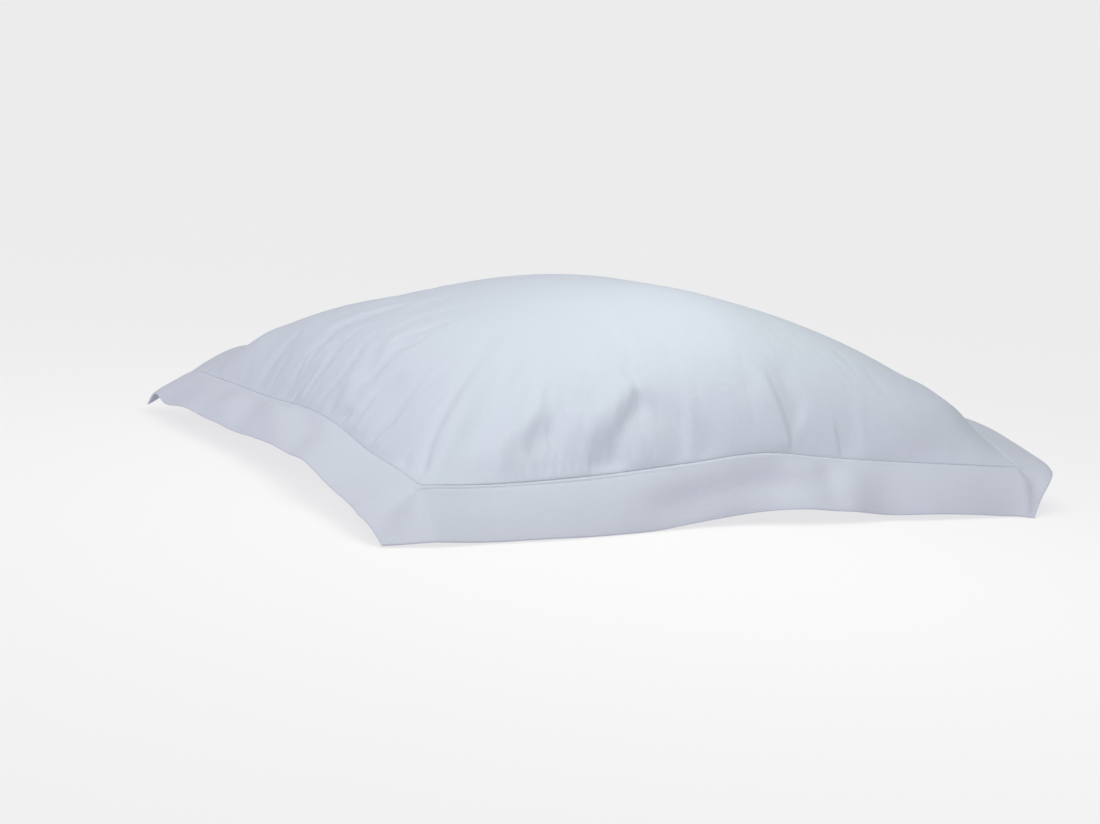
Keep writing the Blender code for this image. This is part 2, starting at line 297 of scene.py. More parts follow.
RIPPLES = (
    Ripple(Side.LEFT, 0.88, 0.72, 0.05, 0.0022),
    Ripple(Side.LEFT, 0.72, 0.58, 0.05, -0.002),
    Ripple(Side.LEFT, 0.58, 0.44, 0.05, 0.0022),
    Ripple(Side.LEFT, 0.46, 0.26, 0.06, -0.003),
    Ripple(Side.LEFT, 0.28, -0.08, 0.1, 0.0052),
    Ripple(Side.LEFT, -0.05, -0.27, 0.08, -0.0046),
    Ripple(Side.LEFT, -0.32, -0.46, 0.08, 0.0024),
    Ripple(Side.LEFT, -0.64, -0.7, 0.06, -0.0014),
    Ripple(Side.NEAR, -0.86, -0.88, 0.06, -0.0016),
    Ripple(Side.NEAR, 0.17, 0.15, 0.04, 0.0016),
    Ripple(Side.NEAR, 0.27, 0.25, 0.035, -0.0034),
    Ripple(Side.NEAR, 0.36, 0.34, 0.04, 0.001),
)

DENTS = (
    Dent(Side.NEAR, 0.02, 0.5, 0.13, 0.22, -0.0046),
    Dent(Side.NEAR, -0.24, 0.62, 0.09, 0.22, -0.004),
    Dent(Side.NEAR, 0.45, 0.5, 0.08, 0.22, -0.0012),
)

CORNER_FOLDS = (
    CornerFold(-1, -1, 27.0, 14.0, 0.0044),
    CornerFold(-1, -1, 62.0, 15.0, -0.002),
    CornerFold(1, -1, 40.0, 15.0, -0.004),
)

GROOVES = {
    Side.NEAR: (
        Groove(-1.0, 0.5, 0.5), Groove(-0.95, 0.8, 0.8), Groove(-0.5, 0.8, 0.8),
        Groove(-0.3, 0.7, 0.3), Groove(0.0, 0.5, 0.1), Groove(0.2, 0.3, 0.2), Groove(0.6, 0.3, 0.2),
        Groove(0.9, 0.6, 0.1), Groove(1.0, 0.2, 0.1),
    ),
    Side.FAR: (
        Groove(-1.0, 0.4, 0.3), Groove(0.0, 0.9, 0.8), Groove(1.0, 0.4, 0.3),
    ),
    Side.LEFT: (
        Groove(-1.0, 0.4, 0.5), Groove(-0.8, 0.2, 0.1), Groove(0.0, 0.2, 0.1),
        Groove(1.0, 0.2, 0.2),
    ),
    Side.RIGHT: (
        Groove(-1.0, 0.2, 0.1), Groove(0.0, 0.8, 0.6), Groove(1.0, 0.4, 0.3),
    ),
}


def smooth_curve(rows: tuple[NamedTuple, ...], column: str, along: np.ndarray) -> np.ndarray:
    """Read one column of a table between its rows, without kinks.

    Args:
        rows: The table, in order of along.
        column: The column's name.
        along: The places to read at, from -1 to 1.

    Returns:
        The values at those places.
    """
    places = np.array([row.along for row in rows])
    values = np.array([getattr(row, column) for row in rows])
    last = len(rows) - 1
    low = np.maximum(np.arange(last + 1) - 1, 0)
    high = np.minimum(np.arange(last + 1) + 1, last)
    slopes = (values[high] - values[low]) / (places[high] - places[low])
    row = np.clip(np.searchsorted(places, along, side="right") - 1, 0, last - 1)
    span = places[row + 1] - places[row]
    t = (along - places[row]) / span
    return (
        (2 * t**3 - 3 * t**2 + 1) * values[row]
        + (t**3 - 2 * t**2 + t) * span * slopes[row]
        + (3 * t**2 - 2 * t**3) * values[row + 1]
        + (t**3 - t**2) * span * slopes[row + 1]
    )


def smooth_step(share: np.ndarray) -> np.ndarray:
    """Ease from 0 to 1 as share goes from 0 to 1, and hold beyond."""
    t = np.clip(share, 0.0, 1.0)
    return t * t * (3 - 2 * t)


def unit(vectors: np.ndarray) -> np.ndarray:
    """The same directions with length one."""
    return vectors / np.maximum(np.linalg.norm(vectors, axis=-1, keepdims=True), 1e-12)


def grid_normals(points: np.ndarray) -> np.ndarray:
    """Upward normals of a grid of points.

    Args:
        points: The grid, as an array of rows along X and columns along Y.

    Returns:
        One unit vector for each point.
    """
    return unit(np.cross(np.gradient(points, axis=0), np.gradient(points, axis=1)))


def crossed(rows: np.ndarray, columns: np.ndarray) -> list[np.ndarray]:
    """The row's and the column's entry for each point of their grid."""
    return np.meshgrid(rows, columns, indexing="ij")


def read_smoothly(values: np.ndarray, places: np.ndarray, axis: int) -> np.ndarray:
    """Read an array between its entries along one axis, without kinks.

    Args:
        values: The array.
        places: The places to read at, counted in entries.
        axis: The axis.

    Returns:
        The array with one entry for each place along that axis.
    """
    last = values.shape[axis] - 1
    index = np.clip(places.astype(int), 0, last - 1)
    t = places - index
    weights = (
        (-t + 2 * t**2 - t**3) / 2,
        (2 - 5 * t**2 + 3 * t**3) / 2,
        (t + 4 * t**2 - 3 * t**3) / 2,
        (t**3 - t**2) / 2,
    )
    total = 0.0
    for step, weight in enumerate(weights):
        row = np.take(values, np.clip(index + step - 1, 0, last), axis=axis)
        total = total + row * (weight[:, None] if axis == 0 else weight)
    return total


def blurred(values: np.ndarray, size: float) -> np.ndarray:
    """Smooth a grid of values.

    Args:
        values: The grid.
        size: How many cells the smoothing reaches.

    Returns:
        The smoothed grid.
    """
    reach = math.ceil(size * 3)
    weights = np.exp(-0.5 * (np.arange(-reach, reach + 1) / size) ** 2)
    weights /= weights.sum()
    for axis in (0, 1):
        margins = [(reach, reach) if a == axis else (0, 0) for a in (0, 1)]
        padded = np.pad(values, margins, mode="edge")
        values = np.apply_along_axis(np.convolve, axis, padded, weights, "valid")
    return values


def smooth_noise(shape: tuple[int, int], cells: tuple[float, float], seed: int) -> np.ndarray:
    """Soft unevenness over a grid, from -1 to 1, without a visible repeat.

    Args:
        shape: The grid's number of points each way.
        cells: How many lumps fit into the grid each way.
        seed: The fixed seed.

    Returns:
        One value for each point of the grid.
    """
    random = np.random.default_rng(seed)
    knots = random.uniform(-1, 1, (int(cells[0]) + 4, int(cells[1]) + 4))
    for axis, (points, count) in enumerate(zip(shape, cells)):
        knots = read_smoothly(knots, np.linspace(0, count, points) + 1, axis)
    return knots


def smooth_path(points: np.ndarray, steps: int) -> np.ndarray:
    """Round off a run of places.

    Args:
        points: The places, in order.
        steps: How many short steps stand for each stretch between two places.

    Returns:
        The finer run, through the same places.
    """
    ends = np.concatenate([[2 * points[0] - points[1]], points, [2 * points[-1] - points[-2]]])
    count = (len(points) - 1) * steps
    return read_smoothly(ends, 1 + np.arange(count + 1) / steps, 0)


def beside_path(path: np.ndarray, places: np.ndarray) -> tuple[np.ndarray, np.ndarray]:
    """Where places lie beside a path.

    Args:
        path: The path's points in plan.
        places: The places in plan, in an array of any shape with x and y last.

    Returns:
        The distance to the path, positive on its left, and the share of its length.
    """
    steps = np.diff(path, axis=0)
    lengths = np.linalg.norm(steps, axis=1)
    starts = np.concatenate([[0.0], np.cumsum(lengths)])
    nearest = np.full(places.shape[:-1], np.inf)
    beside = np.zeros_like(nearest)
    share = np.zeros_like(nearest)
    for start, step, length, before in zip(path, steps, lengths, starts):
        away = places - start
        along = np.clip(away @ step / length**2, 0.0, 1.0)
        distance = np.linalg.norm(away - along[..., None] * step, axis=-1)
        left = np.sign(step[0] * away[..., 1] - step[1] * away[..., 0])
        closer = distance < nearest
        nearest = np.where(closer, distance, nearest)
        beside = np.where(closer, distance * left, beside)
        share = np.where(closer, (before + along * length) / starts[-1], share)
    return beside, share


def grid_faces(numbers: np.ndarray) -> np.ndarray:
    """Faces between the points of a grid.

    Args:
        numbers: The number of each of the grid's vertices.

    Returns:
        Four vertex numbers for each cell, turning left as seen from above.
    """
    corners = (numbers[:-1, :-1], numbers[1:, :-1], numbers[1:, 1:], numbers[:-1, 1:])
    return np.stack([corner.ravel() for corner in corners], axis=1)


def rim_of(grid: np.ndarray) -> np.ndarray:
    """The grid's outermost entries, once round, turning left as seen from above."""
    return np.concatenate([grid[:-1, 0], grid[-1, :-1], grid[:0:-1, -1], grid[0, :0:-1]])


def read_between(values: np.ndarray, places: np.ndarray, wanted: np.ndarray, axis: int) -> np.ndarray:
    """Read an array between its entries along one axis.

    Args:
        values: The array.
        places: Where its entries lie along that axis, in order.
        wanted: The places to read.
        axis: The axis.

    Returns:
        The array with one entry for each wanted place along that axis.
    """
    after = np.clip(np.searchsorted(places, wanted), 1, len(places) - 1)
    share = (wanted - places[after - 1]) / (places[after] - places[after - 1])
    shape = [1] * values.ndim
    shape[axis] = -1
    share = share.reshape(shape)
    low, high = (np.take(values, index, axis=axis) for index in (after - 1, after))
    return low * (1 - share) + high * share


def point_normals(points: np.ndarray, faces: np.ndarray) -> np.ndarray:
    """Normals of the points of a mesh of four-sided faces.

    Args:
        points: The mesh's points.
        faces: Four point numbers for each face.

    Returns:
        One unit vector for each point.
    """
    first, second, third, fourth = (points[corner] for corner in faces.T)
    square = np.cross(third - first, fourth - second)
    total = np.zeros_like(points)
    for corner in faces.T:
        np.add.at(total, corner, square)
    return unit(total)


def without_loose_points(
    points: np.ndarray, faces: list[list[int]], cloth: np.ndarray
) -> tuple[np.ndarray, list[list[int]], np.ndarray]:
    """Drop the points that no face uses.

    Args:
        points: The vertices.
        faces: Vertex numbers of the faces.
        cloth: Each vertex's place on the flat cloth.

    Returns:
        The vertices, faces and places that are left.
    """
    used = np.unique(np.fromiter(chain.from_iterable(faces), int))
    new = np.zeros(len(points), int)
    new[used] = np.arange(len(used))
    numbers = new.tolist()
    return points[used], [[numbers[corner] for corner in face] for face in faces], cloth[used]


def cloth_lengths(points: np.ndarray) -> np.ndarray:
    """Place of each grid point on the flat cloth.

    Args:
        points: The grid, as an array of rows along X and columns along Y.

    Returns:
        The lengths along the cloth from the grid's middle, in metres.
    """
    lengths = []
    for axis in (0, 1):
        steps = np.linalg.norm(np.diff(points, axis=axis), axis=-1)
        run = np.cumsum(steps, axis=axis)
        run = np.concatenate([np.zeros_like(np.take(run, [0], axis=axis)), run], axis=axis)
        lengths.append(run - np.take(run, [run.shape[axis] // 2], axis=axis))
    return np.stack(lengths, axis=-1)


def cloth_piece(
    name: str, points: np.ndarray, faces: list[list[int]], cloth: np.ndarray, material: bpy.types.Material
) -> bpy.types.Object:
    """Make a smooth-shaded piece with a map of its cloth.

    Args:
        name: The piece's name.
        points: Its vertices.
        faces: Vertex numbers of its faces.
        cloth: Each vertex's place on the flat cloth, in metres.
        material: Its finish.

    Returns:
        The piece, in the scene.
    """
    mesh = bpy.data.meshes.new(name)
    mesh.from_pydata(points.tolist(), [], faces)
    mesh.validate()
    numbers = np.empty(len(mesh.loops), dtype=np.int32)
    mesh.loops.foreach_get("vertex_index", numbers)
    mesh.uv_layers.new(name=CLOTH_MAP).data.foreach_set("uv", cloth[numbers].ravel())
    mesh.materials.append(material)
    mesh.shade_smooth()
    piece = bpy.data.objects.new(name, mesh)
    bpy.context.scene.collection.objects.link(piece)
    return piece


def linear(colour: str) -> tuple[float, float, float, float]:
    """Turn an sRGB hex colour into the linear colour that the shaders take.

    Args:
        colour: Six hex digits after a hash.

    Returns:
        Red, green, blue and a full alpha.
    """
    parts = [int(colour[i:i + 2], 16) / 255 for i in (1, 3, 5)]
    return (*(c / 12.92 if c <= 0.04045 else ((c + 0.055) / 1.055) ** 2.4 for c in parts), 1.0)


def add_node(
    tree: bpy.types.NodeTree, kind: str, settings: dict[str, object] | None = None,
    inputs: dict[int | str, object] | None = None,
) -> bpy.types.Node:
    """Add a node with its settings and links.

    Args:
        tree: The tree to add it to.
        kind: The node's type.
        settings: Values of its properties.
        inputs: A value, or the socket to link from, for each of its inputs.

    Returns:
        The node.
    """
    node = tree.nodes.new(kind)
    for name, value in (settings or {}).items():
        setattr(node, name, value)
    for key, value in (inputs or {}).items():
        if isinstance(value, bpy.types.NodeSocket):
            tree.links.new(value, node.inputs[key])
        else:
            node.inputs[key].default_value = value
    return node


def new_material(
    name: str, surface: dict[str, object], tints: tuple[str, str] | None = None, size: float = 1.0
) -> tuple[bpy.types.Material, bpy.types.Node]:
    """Make a material with its shader.

    Args:
        name: The material's name.
        surface: Fixed values for the shader's sockets.
        tints: The two colours that it wanders between, where it isn't of one colour.
        size: How wide that wandering's patches are.

    Returns:
        The material and its shader.
    """
    material = bpy.data.materials.new(name)
    material.use_nodes = True
    tree = material.node_tree
    tree.nodes.clear()
    shader = add_node(tree, "ShaderNodeBsdfPrincipled", inputs=surface)
    add_node(tree, "ShaderNodeOutputMaterial", inputs={"Surface": shader.outputs["BSDF"]})
    if tints:
        place = add_node(tree, "ShaderNodeTexCoord").outputs["Object"]
        patches = add_node(tree, "ShaderNodeTexNoise", inputs={"Vector": place, "Scale": 1 / size})
        colour = add_node(tree, "ShaderNodeMix", {"data_type": "RGBA"}, {
            "Factor": patches.outputs["Fac"], 6: linear(tints[0]), 7: linear(tints[1]),
        })
        tree.links.new(colour.outputs[2], shader.inputs["Base Color"])
    return material, shader


@dataclass(frozen=True)
class PercaleCotton:
    """Bleached cotton percale, woven plain and close, washed and pressed.

    It gives the eye a cool, even white without gloss, a fine grid of threads from close
    by, and the slight crumple that pressing leaves.
    """

    name: str
    colour: str
    worn_colour: str
    thread_spacing: float = 0.0009    # really 0.25 mm, which is too fine to show
    thread_height: float = 0.00006
    slub_length: float = 0.018
    crumple_size: float = 0.030
    crumple_height: float = 0.0009
    tint_size: float = 0.16
    roughness: float = 0.85
    gloss: float = 0.25
    sheen: float = 0.12
    sheen_roughness: float = 0.5

    def material(self) -> bpy.types.Material:
        """Build the shader tree.

        Returns:
            The material.
        """
        material, shader = new_material(self.name, {
            "Roughness": self.roughness,
            "Specular IOR Level": self.gloss,
            "Sheen Weight": self.sheen,
            "Sheen Roughness": self.sheen_roughness,
        }, (self.colour, self.worn_colour), self.tint_size)
        tree = material.node_tree
        place = add_node(tree, "ShaderNodeTexCoord").outputs["Object"]
        cloth = add_node(tree, "ShaderNodeUVMap", {"uv_map": CLOTH_MAP}).outputs["UV"]
        crumple = add_node(tree, "ShaderNodeTexNoise", inputs={
            "Vector": place, "Scale": 1 / self.crumple_size, "Detail": 3.0, "Roughness": 0.45,
        })
        soft = add_node(tree, "ShaderNodeBump", inputs={
            "Distance": self.crumple_height, "Height": crumple.outputs["Fac"],
        })
        turns = add_node(tree, "ShaderNodeVectorMath", {"operation": "SCALE"}, {
            0: cloth, "Scale": math.pi / self.thread_spacing,
        })
        waves = add_node(tree, "ShaderNodeVectorMath", {"operation": "SINE"}, {0: turns.outputs[0]})
        both = add_node(tree, "ShaderNodeSeparateXYZ", inputs={0: waves.outputs[0]})
        height = add_node(tree, "ShaderNodeMath", {"operation": "MULTIPLY"}, {
            0: both.outputs["X"], 1: both.outputs["Y"],
        })
        scale = (1 / self.thread_spacing, 1 / self.slub_length)
        for across, along in (scale, scale[::-1]):
            stretched = add_node(tree, "ShaderNodeMapping", inputs={
                "Vector": cloth, "Scale": (across, along, 1.0),
            })
            slubs = add_node(tree, "ShaderNodeTexNoise", inputs={
                "Vector": stretched.outputs["Vector"], "Scale": 1.0, "Detail": 1.0,
            })
            height = add_node(tree, "ShaderNodeMath", {"operation": "ADD"}, {
                0: height.outputs[0], 1: slubs.outputs["Fac"],
            })
        weave = add_node(tree, "ShaderNodeBump", inputs={
            "Distance": self.thread_height, "Height": height.outputs[0],
            "Normal": soft.outputs["Normal"],
        })
        tree.links.new(weave.outputs["Normal"], shader.inputs["Normal"])
        return material


@dataclass(frozen=True)
class CottonThread:
    """Mercerised cotton sewing thread, which shows a little brighter than the cloth."""

    name: str = "mercerised thread"
    colour: str = "#E2E6EE"
    shaded_colour: str = "#D2D7E2"
    ply_spacing: float = 0.0006
    roughness: float = 0.6
    gloss: float = 0.4

    def material(self) -> bpy.types.Material:
        """The shader tree, with a shade for each ply."""
        surface = {"Roughness": self.roughness, "Specular IOR Level": self.gloss}
        return new_material(self.name, surface, (self.colour, self.shaded_colour), self.ply_spacing)[0]


@dataclass(frozen=True)
class StudioPaper:
    """Matt background paper without visible grain, lit evenly by lamps of its own."""

    name: str = "background paper"
    colour: str = "#8D8C89"
    mottled_colour: str = "#8A8986"
    glow: str = "#D9D8DA"
    mottle_size: float = 0.8
    roughness: float = 1.0

    def material(self) -> bpy.types.Material:
        """Build the shader tree.

        Returns:
            The material.
        """
        return new_material(self.name, {
            "Roughness": self.roughness,
            "Specular IOR Level": 0.0,
            "Emission Color": linear(self.glow),
            "Emission Strength": 1.0,
        }, (self.colour, self.mottled_colour), self.mottle_size)[0]


@dataclass(frozen=True)
class Backdrop:
    """Evenly lit paper, so far off that it shows no grain, as pale as the floor there."""

    name: str = "lit backdrop"
    colour: str = "#EDECED"

    def material(self) -> bpy.types.Material:
        """Build the shader tree.

        Returns:
            The material.
        """
        return new_material(self.name, {
            "Base Color": linear("#000000"),
            "Specular IOR Level": 0.0,
            "Emission Color": linear(self.colour),
            "Emission Strength": 1.0,
        })[0]


@dataclass
class Seam:
    """The sewn line between the filled case and its border."""

    length: float
    width: float
    end_draw_in: float = 0.015
    side_draw_in: float = 0.006
    rim: float = 0.002
    levels: dict[Side, tuple[Level, ...]] = field(default_factory=lambda: SEAM_LEVELS)

    def plan(self, u: np.ndarray, v: np.ndarray) -> tuple[np.ndarray, np.ndarray]:
        """Place in plan, with the sides drawn in between the corners.

        Args:
            u: Place between the short sides.
            v: Place between the long sides.

        Returns:
            Its x and its y.
        """
        x = u * (self.length / 2 - self.end_draw_in * (1 - v * v))
        y = v * (self.width / 2 - self.side_draw_in * (1 - u * u))
        return x, y

    def level(self, u: np.ndarray, v: np.ndarray) -> np.ndarray:
        """Height of the smooth sheet that spans the seam.

        Args:
            u: Place between the short sides.
            v: Place between the long sides.

        Returns:
            The height above the floor.
        """
        near, far, left, right = (
            smooth_curve(self.levels[side], "height", place)
            for side, place in zip((Side.NEAR, Side.FAR, Side.LEFT, Side.RIGHT), (u, u, v, v))
        )
        corners = (
            self.levels[Side.NEAR][0].height * (1 - u) * (1 - v)
            + self.levels[Side.NEAR][-1].height * (1 + u) * (1 - v)
            + self.levels[Side.FAR][0].height * (1 - u) * (1 + v)
            + self.levels[Side.FAR][-1].height * (1 + u) * (1 + v)
        ) / 4
        return (near * (1 - v) + far * (1 + v) + left * (1 - u) + right * (1 + u)) / 2 - corners


@dataclass
class FilledCase:
    """The part of the case that the pillow fills: a plump crown over a belly that lies flat."""

    seam: Seam
    crown_height: float = 0.1054
    belly_depth: float = 0.090
    crown_power_u: float = 1.15
    crown_power_v: float = 2.35
    crown_fullness: float = 0.43
    seam_softening: float = 0.05
    top_rounding: float = 0.50
    lean_u: float = 0.07
    lean_v: float = 0.01
    belly_power: float = 2.0
    belly_fullness: float = 0.42
    relief_begins_by: float = 0.03
    corners: tuple[Corner, ...] = CORNERS
    edge_slack: dict[Side, float] = field(default_factory=lambda: {
        Side.NEAR: 0.25, Side.FAR: 0.30, Side.LEFT: 0.50, Side.RIGHT: 0.45,
    })
    edge_reach: float = 0.009
    cells_u: int = 320
    cells_v: int = 240
    crowding: float = 0.25
    creases: tuple[Crease, ...] = CREASES
    crease_steps: int = 6
    lump_height: float = 0.0012
    lump_size: float = 0.075
    lump_seed: int = 5
    calm_from: float = -0.6       # u from which the settled folds grow weaker
    calm_over: float = 0.4
    calm_share: float = 0.85
    calm_corner: float = 0.09     # how far round the seam's corners they are faint

    def lines(self, cells: int) -> np.ndarray:
        """Places of the grid lines between -1 and 1, closer together near the seam."""
        even = np.linspace(-1, 1, cells + 1)
        return even * (1 + self.crowding * (1 - even * even))

    def dome(self, share: np.ndarray, fullness: float) -> np.ndarray:
        """Share of the full height, zero along the seam and one at the top."""
        low, full, high = ((s + self.seam_softening) ** fullness for s in (0, share, 1))
        return (full - low) / (high - low)

    def rounded(self, place: np.ndarray) -> np.ndarray:
        """Distance from the middle, with the point at zero rounded off."""
        soft = np.hypot(place, self.top_rounding) - self.top_rounding
        return np.minimum(soft / (math.hypot(1, self.top_rounding) - self.top_rounding), 1.0)

    def crown_share(self, u: np.ndarray, v: np.ndarray) -> np.ndarray:
        """How far inside the seam a place is.

        Args:
            u: Place between the short sides.
            v: Place between the long sides.

        Returns:
            A share from 0 at the seam to 1 at the top.
        """
        across_u = self.rounded(u + self.lean_u * (1 - u * u) / 2)
        across_v = self.rounded(v + self.lean_v * (1 - v * v) / 2)
        return (1 - across_u**self.crown_power_u) * (1 - across_v**self.crown_power_v)

    def to_corner(self, u: np.ndarray, v: np.ndarray) -> np.ndarray:
        """Distance from a place to the nearest corner of the seam."""
        return np.hypot((1 - np.abs(u)) * self.seam.length, (1 - np.abs(v)) * self.seam.width) / 2

    def filled(self, u: np.ndarray, v: np.ndarray) -> np.ndarray:
        """Share of the crown's height that the filling reaches, less along the seam.

        Args:
            u: Place between the short sides.
            v: Place between the long sides.

        Returns:
            The share, up to 1.
        """
        share = np.ones_like(u)
        for side, place, reach in (
            (Side.NEAR, -v, self.seam.width), (Side.FAR, v, self.seam.width),
            (Side.LEFT, -u, self.seam.length), (Side.RIGHT, u, self.seam.length),
        ):
            felt = np.exp((place - 1) * reach / 2 / self.edge_reach)
            share = share * (1 - self.edge_slack[side] * felt)
        for corner in self.corners:
            away_x = (1 - u * corner.end) * self.seam.length
            away_y = (1 - v * corner.side) * self.seam.width
            felt = np.exp(-((np.hypot(away_x, away_y) / 2 / corner.reach) ** 2))
            share = share * (1 - corner.slack * felt)
        return share

    def crown(self, u: np.ndarray, v: np.ndarray) -> np.ndarray:
        """The smooth crown, before its creases.

        Args:
            u: Place between the short sides.
            v: Place between the long sides.

        Returns:
            The point of the crown there.
        """
        x, y = self.seam.plan(u, v)
        height = self.crown_height * self.dome(self.crown_share(u, v), self.crown_fullness)
        return np.stack([x, y, self.seam.level(u, v) + height * self.filled(u, v)], axis=-1)

    def belly(self, u: np.ndarray, v: np.ndarray) -> np.ndarray:
        """The underside, flat where it lies on the floor.

        Args:
            u: Place between the short sides.
            v: Place between the long sides.

        Returns:
            The point of the underside there.
        """
        share = (1 - np.abs(u) ** self.belly_power) * (1 - np.abs(v) ** self.belly_power)
        sag = self.belly_depth * self.dome(share, self.belly_fullness)
        x, y = self.seam.plan(u, v)
        height = np.maximum(self.seam.level(u, v) - self.seam.rim - sag, 0.0)
        return np.stack([x, y, height], axis=-1)

    def crease_relief(self, places: np.ndarray) -> np.ndarray:
        """Height that the creases add.

        Args:
            places: Places in plan.

        Returns:
            The height at each.
        """
        total = np.zeros(places.shape[:-1])
        for crease in self.creases:
            run = np.stack(self.seam.plan(*np.array(crease.run).T), axis=-1)
            beside, share = beside_path(smooth_path(run, self.crease_steps), places)
            across = beside / (crease.start_width + (crease.end_width - crease.start_width) * share)
            grown = smooth_step(share / crease.fade_in) * smooth_step((1 - share) / crease.fade_out)
            height = crease.rise + crease.step * across * math.exp(0.5)
            total += grown * np.exp(-0.5 * across**2) * height
        return total

    def crown_with_relief(self, u: np.ndarray, v: np.ndarray) -> np.ndarray:
        """The crown with its lumps, creases and settled folds, which stand square to it.

        Args:
            u: The grid's places between the short sides.
            v: The grid's places between the long sides.

        Returns:
            The points of the crown there.
        """
        points = self.crown(u, v)
        held = np.minimum(self.crown_share(u, v) / self.relief_begins_by, 1.0)
        counts = (self.seam.length / self.lump_size, self.seam.width / self.lump_size)
        lumps = smooth_noise(u.shape, counts, self.lump_seed)
        relief = self.crease_relief(points[..., :2]) + self.lump_height * lumps
        folds = Settling(self).folds()
        for axis, (line, count) in enumerate(zip((u[:, 0], v[0]), folds.shape)):
            folds = read_smoothly(folds, (line + 1) / 2 * (count - 1), axis)
        folds *= 1 - self.calm_share * smooth_step((u - self.calm_from) / self.calm_over)
        relief += folds * (1 - np.exp(-((self.to_corner(u, v) / self.calm_corner) ** 2)))
        return points + grid_normals(points) * (relief * held)[..., None]

    def build(self, finish: PercaleCotton) -> bpy.types.Object:
        """Make the closed mesh of the filled case.

        The belly, which lies on the floor, has cells twice as long as the crown's.

        Args:
            finish: The cotton.

        Returns:
            The piece.
        """
        u, v = crossed(self.lines(self.cells_u), self.lines(self.cells_v))
        front = self.crown_with_relief(u, v)
        back = self.belly(u, v)
        front_numbers = np.arange(u.size).reshape(u.shape)
        back_numbers = front_numbers + u.size
        faces = grid_faces(front_numbers).tolist()
        front_rim, back_rim = rim_of(front_numbers), rim_of(back_numbers)
        walls = [back_rim, np.roll(back_rim, -1), np.roll(front_rim, -1), front_rim]
        faces += np.stack(walls, axis=1).tolist()
        middles = {}
        for before, middle, after in zip(back_rim, np.roll(back_rim, -1), np.roll(back_rim, -2)):
            middles[before, after] = middles[after, before] = int(middle)
        for cell in grid_faces(back_numbers[::2, ::2])[:, ::-1].tolist():
            loop = []
            for corner, following in zip(cell, cell[1:] + cell[:1]):
                loop += [corner, middles.get((corner, following))]
            faces.append([corner for corner in loop if corner is not None])
        points = np.concatenate([front.reshape(-1, 3), back.reshape(-1, 3)])
        cloth = np.concatenate([cloth_lengths(panel).reshape(-1, 2) for panel in (front, back)])
        points, faces, cloth = without_loose_points(points, faces, cloth)
        piece = cloth_piece("filled_cotton", points, faces, cloth, finish.material())
        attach(piece, "root")
        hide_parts(BODY_NODE)
        return piece


@dataclass
class Settling:
    """Lets the cotton of the crown, a little wider than its filling, settle into folds."""

    case: FilledCase
    cells_u: int = 150
    cells_v: int = 112
    slack: float = 0.015
    pressure: float = 3.0
    frames: int = 24
    quality: int = 6
    mass: float = 0.2
    stiffness: float = 15.0
    bending: float = 0.3
    most: float = 0.004           # no fold stands prouder than this
    swell_size: float = 0.022     # wider than this it is a bulge and no fold

    def folds(self) -> np.ndarray:
        """Run the simulation on an even grid of the crown.

        Returns:
            The height of the folds over that grid. Bulges wider than folds are left out.
        """
        u, v = crossed(*(np.linspace(-1, 1, cells + 1) for cells in (self.cells_u, self.cells_v)))
        start = self.case.crown(u, v)
        numbers = np.arange(u.size).reshape(u.shape)
        mesh = bpy.data.meshes.new("settling")
        mesh.from_pydata(start.reshape(-1, 3).tolist(), [], grid_faces(numbers).tolist())
        cloth = bpy.data.objects.new("settling", mesh)
        bpy.context.scene.collection.objects.link(cloth)
        cloth.vertex_groups.new(name="seam").add(rim_of(numbers).tolist(), 1.0, "REPLACE")
        modifier = cloth.modifiers.new("cloth", "CLOTH")
        settings = modifier.settings
        settings.quality = self.quality
        settings.mass = self.mass
        settings.vertex_group_mass = "seam"
        settings.tension_stiffness = self.stiffness
        settings.compression_stiffness = self.stiffness
        settings.shear_stiffness = self.stiffness
        settings.bending_stiffness = self.bending
        settings.use_pressure = True
        settings.uniform_pressure_force = self.pressure
        settings.shrink_min = -self.slack
        settings.effector_weights.gravity = 0.0
        modifier.collision_settings.use_collision = False
        modifier.collision_settings.use_self_collision = False
        modifier.point_cache.frame_end = self.frames
        scene = bpy.context.scene
        for step in range(1, self.frames + 1):
            scene.frame_set(step)
        settled = cloth.evaluated_get(bpy.context.evaluated_depsgraph_get()).data
        places = np.empty(u.size * 3)
        settled.vertices.foreach_get("co", places)
        scene.frame_set(1)
        bpy.data.objects.remove(cloth)
        moved = ((places.reshape(start.shape) - start) * grid_normals(start)).sum(axis=-1)
        LOG.info("settled: moves %.4f to %.4f", moved.min(), moved.max())
        folds = moved - blurred(moved, self.swell_size / (self.case.seam.length / self.cells_u))
        LOG.info("folds: %.4f to %.4f", folds.min(), folds.max())
        return self.most * np.tanh(folds / self.most)


@dataclass
class LinesOut:
    """Grid lines across the case, from hem to hem."""

    inner: np.ndarray     # places between the seams, from -1 to 1
    reach: float          # distance from seam to seam
    across: np.ndarray    # distances from the seam, across the border

    def inside(self) -> np.ndarray:
        """The seam-to-seam place that each line belongs to."""
        side = np.ones(len(self.across) - 1)
        return np.concatenate([-side, self.inner, side])

    def outside(self) -> np.ndarray:
        """How far beyond the seam each line lies, negative on the left or near side."""
        return np.concatenate([-self.across[:0:-1], np.zeros(len(self.inner)), self.across[1:]])

    def steps_out(self) -> np.ndarray:
        """How many lines each one lies beyond the seam."""
        steps = np.arange(1, len(self.across))
        return np.concatenate([steps[::-1], np.zeros(len(self.inner), int), steps])

    def places(self) -> np.ndarray:
        """Places of the lines on the flat cloth, in metres from its middle."""
        return self.inside() * self.reach / 2 + self.outside()


